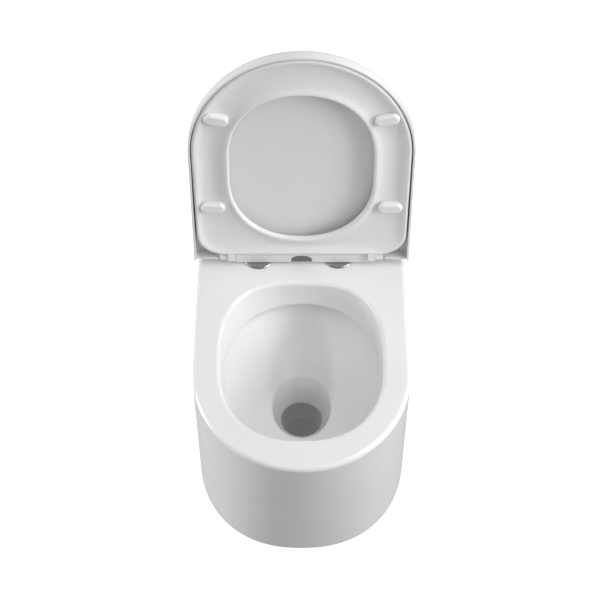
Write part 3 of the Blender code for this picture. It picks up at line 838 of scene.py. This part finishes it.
def seat_lug(side):
    """A tab back from the seat's underside, rounded over the hinge pin."""
    ends = sorted((side * SEAT_LUG[0], side * SEAT_LUG[1]))
    outline = [(-12.0, -13.0), (5.4, -13.0), (7.0, -12.2), (7.8, -10.6)]
    for i in range(25):
        t = math.radians(157.0) * i / 24
        outline.append((SEAT_KNUCKLE * math.cos(t), SEAT_KNUCKLE * math.sin(t)))
    outline.append((-12.0, 3.0))
    return extrude(outline, ends[0], ends[1], "x")


def pin_hole(span, side):
    ends = sorted((side * (span[0] - 1), side * (span[1] + 1)))
    return turned(((PIN_BORE, ends[0]), (PIN_BORE, ends[1])), (0.0, 0.0), "x")


def seat():
    ring = seat_shape()
    for side in (-1, 1):
        add(ring, seat_lug(side))
        ends = sorted((side * NOTCH[0], side * NOTCH[1]))
        cut(ring, block((ends[0], -NOTCH_REACH, -20.0), (ends[1], 12.0, 12.0)))
        cut(ring, pin_hole(SEAT_LUG, side))
    for _, middle, slant in seat_buffer_places():
        pocket = (BUFFER_LONG + 0.3, BUFFER_HALF + 0.3, -20.0, BUFFER_TOP + 0.3)
        cut(ring, pill(middle, slant, *pocket))
    piece(at_hinge(even(ring), OPEN_TURN), "seat_moulding", "seat", "duroplast", "seat_ring")
    for label, middle, slant in seat_buffer_places():
        pad = pill(middle, slant, BUFFER_LONG, BUFFER_HALF, RIM_TOP + 0.3, BUFFER_TOP, 5.0)
        node = f"{label}_seat_buffer"
        piece(at_hinge(even(pad), OPEN_TURN), f"{label}_seat_pad", "seat", "buffer", node)


def lid_ring(inset, z, rear=LID_REAR, drop=0.0):
    points = plan(LID_HALF - inset, RIM_STRAIGHT, LID_REACH - inset, rear, LID_REAR_HALF - inset, back=14)
    return [(x, -s, z - drop) for x, s in points]


def lid():
    outside = [(1.1, LID_LIP), (0.4, LID_LIP + 0.3), (0.0, LID_LIP + 1.2), (0.0, -6.0), (0.0, 0.0)]
    for i in range(1, 11):
        t = math.pi / 2 * i / 10
        outside.append((13.0 * (1 - math.cos(t)), 13.0 * math.sin(t)))
    shell = loft([lid_ring(inset, z) for inset, z in outside], "lid")
    inside = [(3.3, LID_LIP - 1), (3.5, LID_LIP), (3.9, LID_LIP + 0.8), (LID_SKIRT, 0.0)]
    for i in range(1, 8):
        t = math.pi / 2 * i / 7
        inside.append((LID_SKIRT + 7.5 * (1 - math.cos(t)), 1.2 + 8.0 * math.sin(t)))
    cut(shell, loft([lid_ring(inset, z, LID_REAR - 3) for inset, z in inside]))
    for side in (-1, 1):
        ends = sorted((side * 142.0, side * 180.0))
        add(shell, block((ends[0], 0.6, -10.0), (ends[1], 3.6, LID_INSIDE + 1)))
        ends = sorted((side * LID_LUG[0], side * LID_LUG[1]))
        web = block((ends[0], -8.0, -1.3), (ends[1], 3.2, LID_INSIDE + 1))
        add(shell, add(knuckle(LID_LUG, side, LID_KNUCKLE), web))
        cut(shell, pin_hole(LID_LUG, side))
    names = ("left_front", "left_rear", "right_front", "right_rear")
    places = [(side * x, -s) for side in (-1, 1) for x, s in LID_BUFFERS]
    for at in places:
        cut(shell, turned(((6.3, 0.0), (6.3, LID_INSIDE + 1.0)), at, "z"))
    piece(at_hinge(even(shell), OPEN_TURN), "lid_moulding", "lid", "duroplast", "lid")
    for label, at in zip(names, places):
        steps = ((4.6, 5.3), (5.5, 5.6), (6.0, 6.4), (6.0, LID_INSIDE + 0.7))
        pad = turned(steps, at, "z")
        node = f"{label}_lid_buffer"
        piece(at_hinge(even(pad), OPEN_TURN), f"{label}_lid_pad", "lid", "buffer", node)


# ---------------------------------------------------------------- hinge

BAR_HALF = 111.2
DISC_HALF = 25.5
BAR_ROUND = 8.0
BAR_BOTTOM = -14.6


def bar_profile():
    points = [(-BAR_ROUND, BAR_BOTTOM)]
    for i in range(33):
        t = math.pi * i / 32
        points.append((-BAR_ROUND * math.cos(t), BAR_ROUND * math.sin(t)))
    points.append((BAR_ROUND, BAR_BOTTOM))
    return points


def button_outline(grow):
    low = -12.4 - grow
    points = [(17.6 + grow, low)]
    for i in range(33):
        t = math.pi * i / 32
        c = math.cos(t)
        x = (17.6 + grow) * math.copysign(abs(c) ** 0.7, c)
        points.append((x, -9.4 + (11.8 + grow) * math.sin(t) ** 0.75))
    points.append((-17.6 - grow, low))
    return points


def hinge():
    bar = extrude(bar_profile(), -BAR_HALF, BAR_HALF, "x", "bar")
    soften(bar, 0.5, 2, 50.0)
    cut(bar, block((-62.0, -6.0, -8.0), (62.0, 5.4, 4.4)))
    cut(bar, block((-64.6, -2.9, -2.7), (64.6, 2.9, 2.7)))
    cut(bar, block((-60.4, -5.1, -15.0), (60.4, 5.4, -7.0)))
    cut(bar, extrude(button_outline(0.35), -BAR_ROUND - 1, -5.0, "y"))
    for side in (-1, 1):
        cut(bar, turned(((5.3, -16.0), (5.3, 5.1)), (side * BOLT_X, 0.0), "z"))
        ends = sorted((side * 83.6, side * 112.0))
        cut(bar, turned(((6.7, ends[0]), (6.7, ends[1])), (0.0, 0.0), "x"))
    piece(at_hinge(even(bar, 30.0)), "hinge_bar_shell", "pan", "hinge_plastic", "hinge_bar")
    button = extrude(button_outline(0.0), -BAR_ROUND, -6.8, "y", "button")
    soften(button, 0.3, 3, 50.0)
    wedge = ((-7.4, -7.0), (7.4, -7.0), (7.4, -2.4), (5.2, -0.2), (-5.2, -0.2), (-7.4, -2.4))
    add(button, extrude(wedge, -1.9, 1.9, "z"))
    piece(at_hinge(even(button)), "button_cap", "button", "button_grey", "release_button")
    for label, side in (("left", -1), ("right", 1)):
        low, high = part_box(f"{label}_hinge_disc")
        middle = ((low.x + high.x) * 500, (low.y + high.y) * 500)
        base = low.z * 1000
        steps = [(DISC_HALF, base), (DISC_HALF, base + 0.7)]
        for i in range(1, 9):
            t = math.pi / 2 * i / 8
            steps.append((DISC_HALF - 4.0 * (1 - math.cos(t)), base + 0.7 + 1.8 * math.sin(t)))
        disc = turned(steps, middle, "z", 96)
        cut(disc, turned(((10.3, base - 1), (10.3, base + 6)), (side * BOLT_X, HINGE_Y), "z"))
        name = f"{label}_disc_cover"
        piece(even(disc), name, f"{label}_disc", "chrome", f"{label}_hinge_disc")


# ---------------------------------------------------------------- the rest


def carried_over():
    """CAD nodes that stay as they are get their materials here."""
    slots = {s["node"]: s["material_slot"] for s in frame["record"]["subparts"]}
    for name, obj in frame["nodes"].items():
        if obj.hide_render:
            continue
        obj.data.materials.clear()
        obj.data.materials.append(MATERIALS[slots[name]])


STAGE_HALF = 9000.0
BACKDROP_SIDES = 48
BACKDROP_SHARE = 0.9  # the backdrop's radius, as a share of the floor's half width
STAGE_GLOW = 0.6
WORLD_STRENGTH = 0.405
LIGHTS_AIM = Vector((0.0, 0.0, 0.3))


def floor_paint():
    """Matt white that also glows, so that the ground behind the object stays white."""
    pale = Nodes("floor_paint")
    cloud = pale.ramp(pale.noise(3.0, 3.0), 0.0, 1.0)
    pale.set(Base_Color=pale.mix(cloud, (0.86, 0.86, 0.86), (0.88, 0.88, 0.88)), Roughness=0.8)
    pale.set(Emission_Color=(1.0, 1.0, 1.0), Emission_Strength=STAGE_GLOW)
    return pale.material


def surround():
    """A floor and a round backdrop, which neither light the object nor show in its gloss."""
    half = STAGE_HALF
    corners = ((-half, -half, 0), (half, -half, 0), (half, half, 0), (-half, half, 0))
    floor = new_object("floor", corners, ((0, 1, 2, 3),))
    floor.location.z = -0.0002
    count = BACKDROP_SIDES
    angles = [math.tau * k / count for k in range(count)]
    around = [(half * BACKDROP_SHARE * math.cos(t), half * BACKDROP_SHARE * math.sin(t)) for t in angles]
    walls = [(x, y, z) for z in (-1.0, half) for x, y in around]
    sides = [(k, (k + 1) % count, (k + 1) % count + count, k + count) for k in range(count)]
    backdrop = new_object("backdrop", walls, sides)
    paint = floor_paint()
    for obj in (floor, backdrop):
        obj.data.materials.append(paint)
        obj.visible_diffuse = False
        obj.visible_glossy = False
    backdrop.visible_shadow = False


def lights():
    """An even pale world, and soft lights from both sides."""
    world = bpy.data.worlds.new("studio")
    world.use_nodes = True
    background = world.node_tree.nodes["Background"]
    background.inputs["Color"].default_value = (1.0, 1.0, 1.0, 1.0)
    background.inputs["Strength"].default_value = WORLD_STRENGTH
    bpy.context.scene.world = world
    for name, place, size, power in LIGHTS:
        light = bpy.data.lights.new(name, "AREA")
        light.shape = "RECTANGLE"
        light.size, light.size_y = size
        light.energy = power
        obj = bpy.data.objects.new(name, light)
        obj.location = place
        obj.rotation_euler = (LIGHTS_AIM - Vector(place)).to_track_quat("-Z", "Y").to_euler()
        bpy.context.scene.collection.objects.link(obj)


LIGHTS = (
    ("right_low", (3.0, -0.9, 0.7), (1.2, 1.0), 19.0),
    ("right", (2.8, -0.9, 1.8), (1.2, 1.0), 42.0),
    ("right_high", (1.5, 0.0, 2.8), (1.4, 1.4), 25.0),
    ("front_high", (1.8, -1.2, 2.4), (1.2, 1.2), 4.0),
    ("left_low", (-3.0, 0.3, 0.4), (1.2, 0.8), 51.0),
    ("left_high", (-2.2, 0.2, 2.4), (1.6, 2.0), 16.0),
)

CAMERA_TURN = math.radians(52.6)
CAMERA_AWAY = 3.677
CAMERA_LIFT = 0.0794
CAMERA_SIDE = 0.0026
CAMERA_LENS = 129.4


def camera():
    data = bpy.data.cameras.new("camera")
    data.lens = CAMERA_LENS
    data.sensor_width = 36.0
    obj = bpy.data.objects.new("camera", data)
    along = Vector((0.0, math.cos(CAMERA_TURN), -math.sin(CAMERA_TURN)))
    up = Vector((0.0, math.sin(CAMERA_TURN), math.cos(CAMERA_TURN)))
    obj.location = AXIS - along * CAMERA_AWAY - up * CAMERA_LIFT - Vector((CAMERA_SIDE, 0.0, 0.0))
    obj.rotation_euler = along.to_track_quat("-Z", "Y").to_euler()
    bpy.context.scene.collection.objects.link(obj)
    bpy.context.scene.camera = obj
    bpy.context.scene.view_settings.view_transform = "Standard"


pan()
seat()
lid()
hinge()
carried_over()
surround()
lights()
camera()
